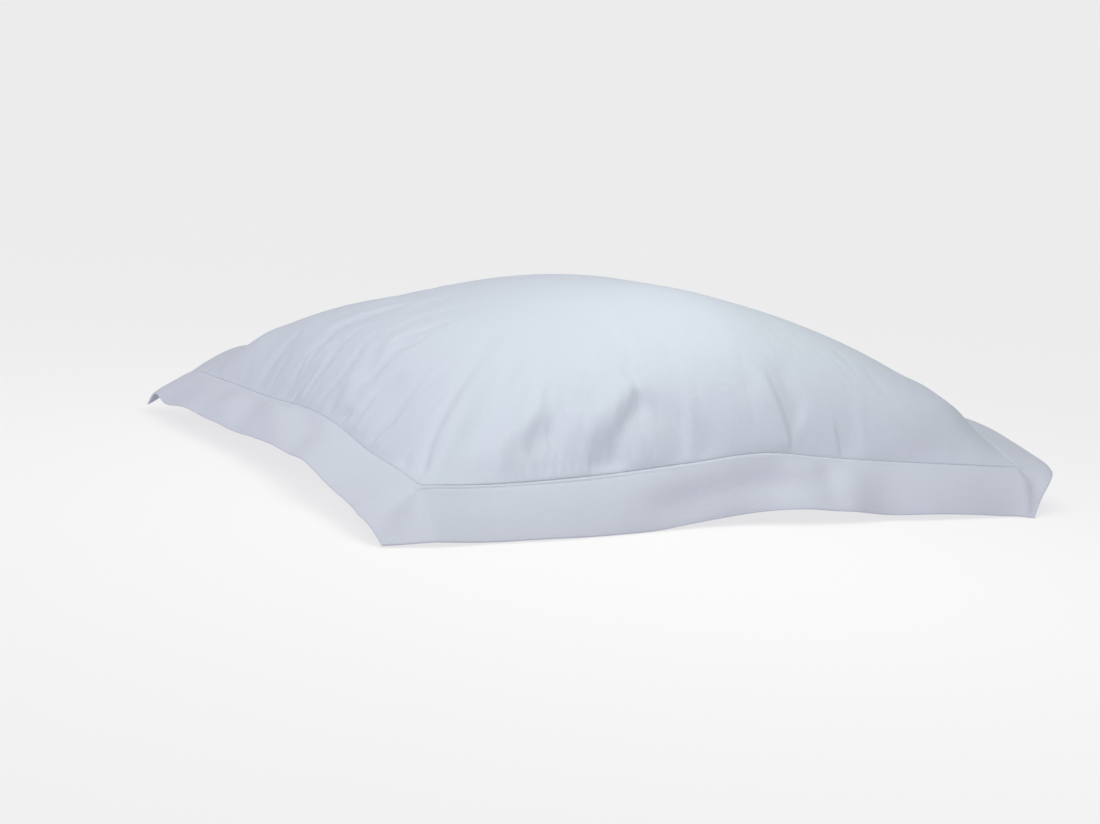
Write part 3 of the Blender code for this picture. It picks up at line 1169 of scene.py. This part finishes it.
@dataclass
class Border:
    """The border: both panels lying flat on each other, from the seam out to the hem."""

    seam: Seam
    case: FilledCase
    width: float = 0.053
    thickness: float = 0.002
    welt_width: float = 0.0034
    welt_rise: float = 0.0004
    groove_depth: float = 0.0006
    groove_width: float = 0.0005
    relaxing_step: float = 0.002
    relaxing_passes: int = 90
    relaxing_share: float = 0.5
    welt_lines: int = 9
    wide_lines: int = 14
    hem_lines: int = 5
    crowding: float = 1.15
    tip_turn: float = 1.9
    ripple_ease: float = 3.0        # a ripple is full at the width divided by this
    ripple_fading: float = 0.6
    dent_ease: float = 8.0
    corner_ease: float = 1.6
    corner_fading: float = 2.5
    hems: dict[Side, tuple[Hem, ...]] = field(default_factory=lambda: HEMS)
    tips: tuple[Tip, ...] = TIPS
    ripples: tuple[Ripple, ...] = RIPPLES
    dents: tuple[Dent, ...] = DENTS
    corner_folds: tuple[CornerFold, ...] = CORNER_FOLDS
    grooves: dict[Side, tuple[Groove, ...]] = field(default_factory=lambda: GROOVES)

    def lines_across(self) -> np.ndarray:
        """Distances of the grid lines from the seam, close together at the welt and the hem.

        Returns:
            The distances, from the seam out to the hem.
        """
        welt = np.linspace(0, self.welt_width * 4 / 3, self.welt_lines)
        rounding = 1 - np.sin(np.linspace(0, math.pi / 2, self.hem_lines))
        edge = self.width - self.thickness / 2 * rounding
        shares = np.linspace(0, 1, self.wide_lines)[1:-1] ** self.crowding
        return np.concatenate([welt, welt[-1] + (edge[0] - welt[-1]) * shares, edge])

    def hem_offset(self, side: Side, along: np.ndarray, share: np.ndarray) -> np.ndarray:
        """Vector from the seam to a place in the border's width.

        Args:
            side: The side of the case.
            along: The place along it, from -1 to 1.
            share: The share of the border's width.

        Returns:
            How far outwards, along the side and up.
        """
        out, lift, shift, proud = (
            smooth_curve(self.hems[side], column, along) for column in ("out", "lift", "shift", "proud")
        )
        level = smooth_curve(self.seam.levels[side], "height", along) - self.seam.rim
        drop = np.minimum(np.sqrt(self.width**2 - out**2) - self.seam.rim - lift, level)
        bow = proud * 4 * share * (1 - share)
        slant = np.hypot(out, drop)
        outwards = out * share + bow * drop / slant
        return np.stack([outwards, shift * share, bow * out / slant - drop * share], axis=-1)

    def both_ends(self, u: np.ndarray, v: np.ndarray, share: np.ndarray) -> np.ndarray:
        """Offset from the short side that a place belongs to, as outwards, along and up."""
        left, right = (self.hem_offset(side, v, share) for side in (Side.LEFT, Side.RIGHT))
        return np.where(u[..., None] < 0, left, right)

    def both_sides(self, u: np.ndarray, v: np.ndarray, share: np.ndarray) -> np.ndarray:
        """Offset from the long side that a place belongs to, as outwards, along and up."""
        near, far = (self.hem_offset(side, u, share) for side in (Side.NEAR, Side.FAR))
        return np.where(v[..., None] < 0, near, far)

    def hang(self, along_x: LinesOut, along_y: LinesOut) -> tuple[np.ndarray, np.ndarray]:
        """Where the border's cloth hangs.

        Args:
            along_x: The grid lines along X.
            along_y: The grid lines along Y.

        Returns:
            The offset of each grid point from its place on a flat border, and how many
            lines it lies beyond the seam each way.
        """
        u, v = crossed(along_x.inside(), along_y.inside())
        out_x, out_y = crossed(along_x.outside(), along_y.outside())
        share_x, share_y = np.abs(out_x) / self.width, np.abs(out_y) / self.width
        end, side = np.where(u < 0, -1, 1), np.where(v < 0, -1, 1)
        from_end, from_side = self.both_ends(u, v, share_x), self.both_sides(u, v, share_y)
        moved = np.stack([
            end * from_end[..., 0] + from_side[..., 1],
            from_end[..., 1] + side * from_side[..., 0],
            from_end[..., 2] + from_side[..., 2],
        ], axis=-1)
        whole = np.ones_like(u)
        full_end, full_side = self.both_ends(u, v, whole), self.both_sides(u, v, whole)
        level = self.seam.level(u, v) - self.seam.rim
        both = share_x * share_y
        by_end = 4 * both * (1 - share_y)
        by_side = 4 * both * (1 - share_x)
        turning = 1 - self.tip_turn * share_y
        for tip in self.tips:
            here = (end == tip.end) & (side == tip.side)
            corner = np.stack([
                end * (tip.out_x - full_end[..., 0]) - full_side[..., 1],
                side * (tip.out_y - full_side[..., 0]) - full_end[..., 1],
                tip.height - level - full_end[..., 2] - full_side[..., 2],
            ], axis=-1)
            push = np.stack([
                end * tip.push_end * by_end * turning,
                np.zeros_like(u),
                tip.lift_end * by_end + tip.lift_side * by_side,
            ], axis=-1)
            moved += np.where(here[..., None], both[..., None] * corner + push, 0.0)
        beyond = np.stack(crossed(along_x.steps_out(), along_y.steps_out()), axis=-1)
        return moved - np.stack([out_x, out_y, np.zeros_like(u)], axis=-1), beyond

    def softened(self, lines: list[LinesOut]) -> np.ndarray:
        """Offsets of the border's grid points, with the folds at the corners softened.

        The softening runs on evenly spaced lines and is then read at the wanted ones.

        Args:
            lines: The wanted grid lines, each way.

        Returns:
            One vector for each point, from its place on a flat border.
        """
        step = self.relaxing_step
        across = np.arange(0.0, self.width + step / 2, step)
        even = [
            LinesOut(np.linspace(-1, 1, round(line.reach / step)), line.reach, across)
            for line in lines
        ]
        offsets, beyond = self.hang(*even)
        last = beyond.max()
        on_hem = [beyond[..., axis] == last for axis in (0, 1)]
        free = beyond.max(axis=-1) > 0
        held = ~free | (on_hem[0] & on_hem[1])
        for _ in range(self.relaxing_passes):
            total = np.zeros_like(offsets)
            count = np.zeros(free.shape)
            for axis in (0, 1):
                usable = free & ~on_hem[axis]
                for way in (-1, 1):
                    total += np.where(usable[..., None], np.roll(offsets, way, axis=axis), 0.0)
                    count += usable
            away = total / np.maximum(count, 1)[..., None] - offsets
            offsets = np.where(held[..., None], offsets, offsets + self.relaxing_share * away)
        for axis in (0, 1):
            offsets = read_between(offsets, even[axis].places(), lines[axis].places(), axis)
        return offsets

    def fold_relief(
        self, u: np.ndarray, v: np.ndarray, out_x: np.ndarray, out_y: np.ndarray
    ) -> np.ndarray:
        """Height that the ripples, dents and corner folds add, square to the border.

        Args:
            u: Each grid point's place between the short sides.
            v: Each grid point's place between the long sides.
            out_x: How far beyond a short side it lies.
            out_y: How far beyond a long side it lies.

        Returns:
            The height at each point.
        """
        across_x, across_y = np.abs(out_x) / self.width, np.abs(out_y) / self.width
        places = {
            Side.LEFT: (v, across_x * (u < 0)),
            Side.RIGHT: (v, across_x * (u > 0)),
            Side.NEAR: (u, across_y * (v < 0)),
            Side.FAR: (u, across_y * (v > 0)),
        }
        total = np.zeros(u.shape)
        for ripple in self.ripples:
            along, share = places[ripple.side]
            crest = ripple.at_seam + (ripple.at_hem - ripple.at_seam) * share
            body = smooth_step(share * self.ripple_ease) * (1 - self.ripple_fading * share**2)
            total += ripple.height * body * np.exp(-0.5 * ((along - crest) / ripple.width) ** 2)
        for dent in self.dents:
            along, share = places[dent.side]
            off = ((along - dent.along) / dent.width) ** 2 + ((share - dent.share) / dent.reach) ** 2
            total += dent.height * np.exp(-0.5 * off) * smooth_step(share * self.dent_ease)
        distance = np.hypot(across_x, across_y)
        angle = np.degrees(np.arctan2(across_y, across_x))
        for fold in self.corner_folds:
            here = (u * fold.end > 0) & (v * fold.side > 0) & (distance > 0)
            along_x = (1 - u * fold.end) * self.seam.length / 2
            along_y = (1 - v * fold.side) * self.seam.width / 2
            away = np.hypot(along_x, along_y) / self.width * self.corner_fading
            body = np.minimum(distance * self.corner_ease, 1.0) * np.exp(-0.5 * away**2)
            body = fold.height * body * np.exp(-0.5 * ((angle - fold.angle) / fold.spread) ** 2)
            total += np.where(here, body, 0.0)
        return total

    def groove_shares(self, u: np.ndarray, v: np.ndarray, by_side: np.ndarray) -> list[np.ndarray]:
        """Share of the depth of the inner and of the outer groove.

        Args:
            u: Places between the short sides.
            v: Places between the long sides.
            by_side: Whether a place belongs to a long side, not to a short one.

        Returns:
            The two shares.
        """
        shares = []
        for column in ("inner", "outer"):
            near, far, left, right = (
                smooth_curve(self.grooves[side], column, place)
                for side, place in zip((Side.NEAR, Side.FAR, Side.LEFT, Side.RIGHT), (u, u, v, v))
            )
            long_side, short_side = np.where(v < 0, near, far), np.where(u < 0, left, right)
            shares.append(np.where(by_side, long_side, short_side))
        return shares

    def welt_relief(
        self, distance: np.ndarray, inner_share: np.ndarray, outer_share: np.ndarray
    ) -> np.ndarray:
        """Height of the welt between its two sewn grooves.

        Args:
            distance: How far out from the seam each point lies.
            inner_share: Share of the inner groove's depth there.
            outer_share: Share of the outer groove's depth there.

        Returns:
            The height at each point.
        """
        before = self.welt_width - distance
        inner = inner_share * np.exp(-0.5 * (distance / self.groove_width) ** 2)
        outer = outer_share * np.exp(-0.5 * (before / self.groove_width) ** 2)
        raised = smooth_step(distance / self.groove_width / 2)
        raised = raised * smooth_step(before / self.groove_width / 2)
        return self.welt_rise * outer_share * raised - self.groove_depth * (inner + outer)

    def build(self, finish: PercaleCotton) -> tuple[bpy.types.Object, np.ndarray, np.ndarray]:
        """Make the border as a closed sheet with a rounded hem.

        Args:
            finish: The cotton.

        Returns:
            The piece, the grid of its upper face, and that grid's normals.
        """
        across = self.lines_across()
        count = len(across) - 1
        lines = [
            LinesOut(self.case.lines(self.case.cells_u), self.seam.length, across),
            LinesOut(self.case.lines(self.case.cells_v), self.seam.width, across),
        ]
        u, v = crossed(*(line.inside() for line in lines))
        out_x, out_y = crossed(*(line.outside() for line in lines))
        beyond = np.maximum(*crossed(*(line.steps_out() for line in lines)))
        x, y = self.seam.plan(u, v)
        flat = np.stack([x + out_x, y + out_y, self.seam.level(u, v) - self.seam.rim], axis=-1)
        points = flat + self.softened(lines)
        numbers = np.arange(u.size).reshape(u.shape)
        cells = grid_faces(numbers)
        cells = cells[beyond.ravel()[cells].any(axis=1)]
        normals = point_normals(points.reshape(-1, 3), cells).reshape(points.shape)
        points = points + normals * self.fold_relief(u, v, out_x, out_y)[..., None]
        points[..., 2] = np.maximum(points[..., 2], 0.0)
        distance = across[beyond]
        edge = np.clip((distance - self.width) / (self.thickness / 2) + 1, 0, 1)
        half = self.thickness / 2 * np.sqrt(1 - edge**2)
        middle = points + normals * self.thickness / 2
        by_side = np.abs(v) + np.abs(out_y) >= np.abs(u) + np.abs(out_x)
        shares = self.groove_shares(u, v, by_side)
        upper = middle + normals * (half + self.welt_relief(distance, *shares))[..., None]
        # Where its groove is shallow, the border closes up to the crown at the seam
        sewn = np.stack([x, y, self.seam.level(u, v)], axis=-1)
        closing = (1 - shares[0]) * (beyond == 0)
        upper += (sewn - upper) * closing[..., None]
        lower = middle - normals * half[..., None]
        upper[..., 2] = np.maximum(upper[..., 2], lower[..., 2])
        under = np.where(beyond == count, numbers, numbers + u.size)
        faces = cells.tolist() + under.ravel()[cells][:, ::-1].tolist()
        seam_rim = rim_of(numbers[count:-count, count:-count])
        following = np.roll(seam_rim, -1)
        walls = [seam_rim, following, following + u.size, seam_rim + u.size]
        faces += np.stack(walls, axis=1).tolist()
        cloth = np.concatenate([flat[..., :2].reshape(-1, 2)] * 2)
        both = np.concatenate([upper.reshape(-1, 3), lower.reshape(-1, 3)])
        both, faces, cloth = without_loose_points(both, faces, cloth)
        piece = cloth_piece("border_cotton", both, faces, cloth, finish.material())
        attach(piece, "root")
        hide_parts(BORDER_NODE)
        return piece, upper, normals


@dataclass
class SeamStitches:
    """Two rows of lockstitch, one on each side of the welt."""

    border: Border
    lines: tuple[int, ...] = (1, 6)
    pitch: float = 0.0026
    stitch_length: float = 0.0021
    thread: float = 0.00045
    unevenness: float = 0.08
    segments: int = 6
    rings: int = 5
    seed: int = 7

    def rows(self, upper: np.ndarray, normals: np.ndarray) -> bpy.types.Object:
        """Lay the two rows on the border as closed lines.

        Args:
            upper: The grid of the border's upper face.
            normals: Its normals.

        Returns:
            An object with one closed line for each row.
        """
        count = len(self.border.lines_across()) - 1
        points, upright, edges = [], [], []
        for line in self.lines:
            inner = slice(count - line, line - count)
            loop = rim_of(upper[inner, inner])
            numbers = len(points) + np.arange(len(loop))
            edges += np.stack([numbers, np.roll(numbers, -1)], axis=1).tolist()
            points += loop.tolist()
            upright += rim_of(normals[inner, inner]).tolist()
        mesh = bpy.data.meshes.new("stitch lines")
        mesh.from_pydata(points, edges, [])
        attribute = mesh.attributes.new(UPRIGHT, "FLOAT_VECTOR", "POINT")
        attribute.data.foreach_set("vector", np.ravel(upright))
        result = bpy.data.objects.new("stitch lines", mesh)
        bpy.context.scene.collection.objects.link(result)
        return result

    def tree(self) -> tuple[bpy.types.NodeTree, dict[str, str]]:
        """Build the nodes that lay a stitch at each step along a line.

        Returns:
            The tree, and the identifier of each named input.
        """
        tree = bpy.data.node_groups.new("lay stitches", "GeometryNodeTree")
        tree.interface.new_socket("Lines", in_out="INPUT", socket_type="NodeSocketGeometry")
        kinds = {
            "Pitch": "Float", "Stitch length": "Float", "Thread": "Float",
            "Unevenness": "Float", "Finish": "Material",
        }
        sockets = {
            name: tree.interface.new_socket(name, in_out="INPUT", socket_type="NodeSocket" + kind)
            for name, kind in kinds.items()
        }
        tree.interface.new_socket("Stitches", in_out="OUTPUT", socket_type="NodeSocketGeometry")
        given = add_node(tree, "NodeGroupInput").outputs
        curve = add_node(tree, "GeometryNodeMeshToCurve", inputs={"Mesh": given["Lines"]})
        steps = add_node(tree, "GeometryNodeResampleCurve", {"mode": "LENGTH"}, {
            "Curve": curve.outputs["Curve"], "Length": given["Pitch"],
        })
        size = add_node(tree, "ShaderNodeCombineXYZ", inputs={
            "X": given["Stitch length"], "Y": given["Thread"], "Z": given["Thread"],
        })
        bead = add_node(tree, "GeometryNodeMeshUVSphere", inputs={
            "Segments": self.segments, "Rings": self.rings, "Radius": 0.5,
        })
        stitch = add_node(tree, "GeometryNodeTransform", inputs={
            "Geometry": bead.outputs["Mesh"], "Scale": size.outputs["Vector"],
        })
        upright = add_node(tree, "GeometryNodeInputNamedAttribute", {"data_type": "FLOAT_VECTOR"}, {
            "Name": UPRIGHT,
        })
        tangent = add_node(tree, "GeometryNodeInputTangent")
        axes = {"primary_axis": "Z", "secondary_axis": "X"}
        turned = add_node(tree, "FunctionNodeAxesToRotation", axes, {
            "Primary Axis": upright.outputs["Attribute"],
            "Secondary Axis": tangent.outputs["Tangent"],
        })
        least = add_node(tree, "ShaderNodeMath", {"operation": "SUBTRACT"}, {
            0: 1.0, 1: given["Unevenness"],
        })
        uneven = add_node(tree, "FunctionNodeRandomValue", {"data_type": "FLOAT"}, {
            "Min": least.outputs[0], "Max": 1.0, "Seed": self.seed,
        })
        laid = add_node(tree, "GeometryNodeInstanceOnPoints", inputs={
            "Points": steps.outputs["Curve"], "Instance": stitch.outputs["Geometry"],
            "Rotation": turned.outputs["Rotation"], "Scale": uneven.outputs["Value"],
        })
        real = add_node(tree, "GeometryNodeRealizeInstances", inputs={
            "Geometry": laid.outputs["Instances"],
        })
        smooth = add_node(tree, "GeometryNodeSetShadeSmooth", inputs={
            "Geometry": real.outputs["Geometry"],
        })
        dressed = add_node(tree, "GeometryNodeSetMaterial", inputs={
            "Geometry": smooth.outputs["Geometry"], "Material": given["Finish"],
        })
        add_node(tree, "NodeGroupOutput", inputs={"Stitches": dressed.outputs["Geometry"]})
        return tree, {name: socket.identifier for name, socket in sockets.items()}

    def build(
        self, upper: np.ndarray, normals: np.ndarray, finish: CottonThread
    ) -> bpy.types.Object:
        """Make the stitches as one plain mesh.

        Args:
            upper: The grid of the border's upper face.
            normals: Its normals.
            finish: The thread.

        Returns:
            The piece.
        """
        lines = self.rows(upper, normals)
        modifier = lines.modifiers.new("lay stitches", "NODES")
        modifier.node_group, inputs = self.tree()
        values = {
            "Pitch": self.pitch, "Stitch length": self.stitch_length, "Thread": self.thread,
            "Unevenness": self.unevenness, "Finish": finish.material(),
        }
        for name, value in values.items():
            modifier[inputs[name]] = value
        evaluated = lines.evaluated_get(bpy.context.evaluated_depsgraph_get())
        mesh = bpy.data.meshes.new_from_object(evaluated)
        bpy.data.objects.remove(lines)
        piece = bpy.data.objects.new("seam_stitches", mesh)
        bpy.context.scene.collection.objects.link(piece)
        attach(piece, "root")
        return piece


@dataclass
class Studio:
    """Pale paper floor and backdrop, soft light from above and the left, and the camera."""

    stage_radius: float = 120.0
    stage_step: int = 5               # degrees from one point of the stage to the next
    floor_below: float = 0.0004
    room_colour: str = "#F9FBFF"
    room_strength: float = 0.609
    room_azimuth: float = -72.2       # the room is brightest on this side
    room_bias: float = 0.795
    softbox_colour: str = "#F0FFED"
    softbox_power: float = 3.3
    softbox_size: float = 0.85
    softbox_place: tuple[float, float, float] = (-0.12, -0.32, 0.70)
    camera_azimuth: float = -31.49
    camera_elevation: float = 9.14
    camera_roll: float = 5.18
    camera_distance: float = 1.5748
    camera_target: tuple[float, float, float] = (-0.1454, -0.1427, 0.0787)
    lens: float = 58.0

    def add_stage(
        self, name: str, points: list[Vector], faces: list[list[int]], material: bpy.types.Material
    ) -> bpy.types.Object:
        """Add a part of the stage, which throws no light back on the case.

        Args:
            name: The object's name.
            points: Its vertices.
            faces: Vertex numbers of its faces.
            material: Its finish.

        Returns:
            The part.
        """
        mesh = bpy.data.meshes.new(name)
        mesh.from_pydata(points, [], faces)
        mesh.materials.append(material)
        mesh.shade_smooth()
        part = bpy.data.objects.new(name, mesh)
        part.visible_diffuse = False
        part.visible_glossy = False
        bpy.context.scene.collection.objects.link(part)
        return part

    def set_stage(self, floor: StudioPaper, backdrop: Backdrop) -> None:
        """Lay a round floor and raise the backdrop from its rim.

        Args:
            floor: The floor's finish.
            backdrop: The backdrop's finish.
        """
        around = range(0, 360, self.stage_step)
        down = Vector((0, 0, -self.floor_below))
        rim = [self.direction(a, 0) * self.stage_radius + down for a in around]
        self.add_stage("floor", rim, [list(range(len(rim)))], floor.material())
        heights = range(-self.stage_step, 90, self.stage_step)
        points = [self.direction(a, e) * self.stage_radius for e in heights for a in around]
        numbers = np.arange(len(points)).reshape(len(heights), len(around))
        faces = grid_faces(np.column_stack([numbers, numbers[:, 0]])).tolist()
        faces.append(numbers[-1, ::-1].tolist())
        wall = self.add_stage("backdrop", points, faces, backdrop.material())
        wall.visible_shadow = False
        wall.visible_transmission = False

    def direction(self, azimuth: float, elevation: float) -> Vector:
        """Direction away from the case: azimuth 0 is on its near side and 90 on its right."""
        a, e = math.radians(azimuth), math.radians(elevation)
        return Vector((math.sin(a) * math.cos(e), -math.cos(a) * math.cos(e), math.sin(e)))

    def light(self) -> None:
        """Fill the room with light, more of it from the left, and hang a softbox on high."""
        world = bpy.data.worlds.new("room")
        world.use_nodes = True
        tree = world.node_tree
        shader = tree.nodes["Background"]
        shader.inputs["Color"].default_value = linear(self.room_colour)
        way = add_node(tree, "ShaderNodeTexCoord").outputs["Generated"]
        facing = add_node(tree, "ShaderNodeVectorMath", {"operation": "DOT_PRODUCT"}, {
            0: way, 1: self.direction(self.room_azimuth, 0),
        })
        strength = add_node(tree, "ShaderNodeMath", {"operation": "MULTIPLY_ADD"}, {
            0: facing.outputs["Value"], 1: self.room_strength * self.room_bias, 2: self.room_strength,
        })
        tree.links.new(strength.outputs[0], shader.inputs["Strength"])
        bpy.context.scene.world = world
        lamp = bpy.data.lights.new("softbox", "AREA")
        lamp.shape = "DISK"
        lamp.size = self.softbox_size
        lamp.energy = self.softbox_power
        lamp.color = linear(self.softbox_colour)[:3]
        softbox = bpy.data.objects.new("softbox", lamp)
        place = Vector(self.softbox_place)
        softbox.location = place
        softbox.rotation_mode = "QUATERNION"
        softbox.rotation_quaternion = (place - Vector(self.camera_target)).to_track_quat("Z", "Y")
        bpy.context.scene.collection.objects.link(softbox)

    def place_camera(self) -> None:
        """Look at the case from where the photograph was taken."""
        camera = bpy.data.cameras.new("camera")
        camera.lens = self.lens
        view = bpy.data.objects.new("camera", camera)
        back = self.direction(self.camera_azimuth, self.camera_elevation)
        view.location = Vector(self.camera_target) + back * self.camera_distance
        view.rotation_mode = "QUATERNION"
        roll = Quaternion((0, 0, 1), math.radians(self.camera_roll))
        view.rotation_quaternion = (-back).to_track_quat("-Z", "Y") @ roll
        bpy.context.scene.collection.objects.link(view)
        bpy.context.scene.camera = view
        bpy.context.scene.view_settings.view_transform = "Standard"


def main() -> None:
    """Build the pieces around the frame, one after another."""
    logging.basicConfig(level=logging.INFO, format="%(message)s")
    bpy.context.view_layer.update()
    low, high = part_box(BODY_NODE)
    studio = Studio()
    studio.place_camera()
    studio.light()
    studio.set_stage(StudioPaper(), Backdrop())
    seam = Seam(length=high[0] - low[0], width=high[1] - low[1])
    filled_case = FilledCase(seam)
    body = filled_case.build(PercaleCotton("cotton percale", "#CBCCDB", "#C9CAD8"))
    border = Border(seam, filled_case)
    double_cloth = PercaleCotton("cotton percale, double", "#CCCCDA", "#CACAD8")
    sheet, upper, normals = border.build(double_cloth)
    stitches = SeamStitches(border).build(upper, normals, CottonThread())
    for piece in (body, sheet, stitches):
        LOG.info("%s: %d faces", piece.name, len(piece.data.polygons))


if __name__ == "__main__":
    main()
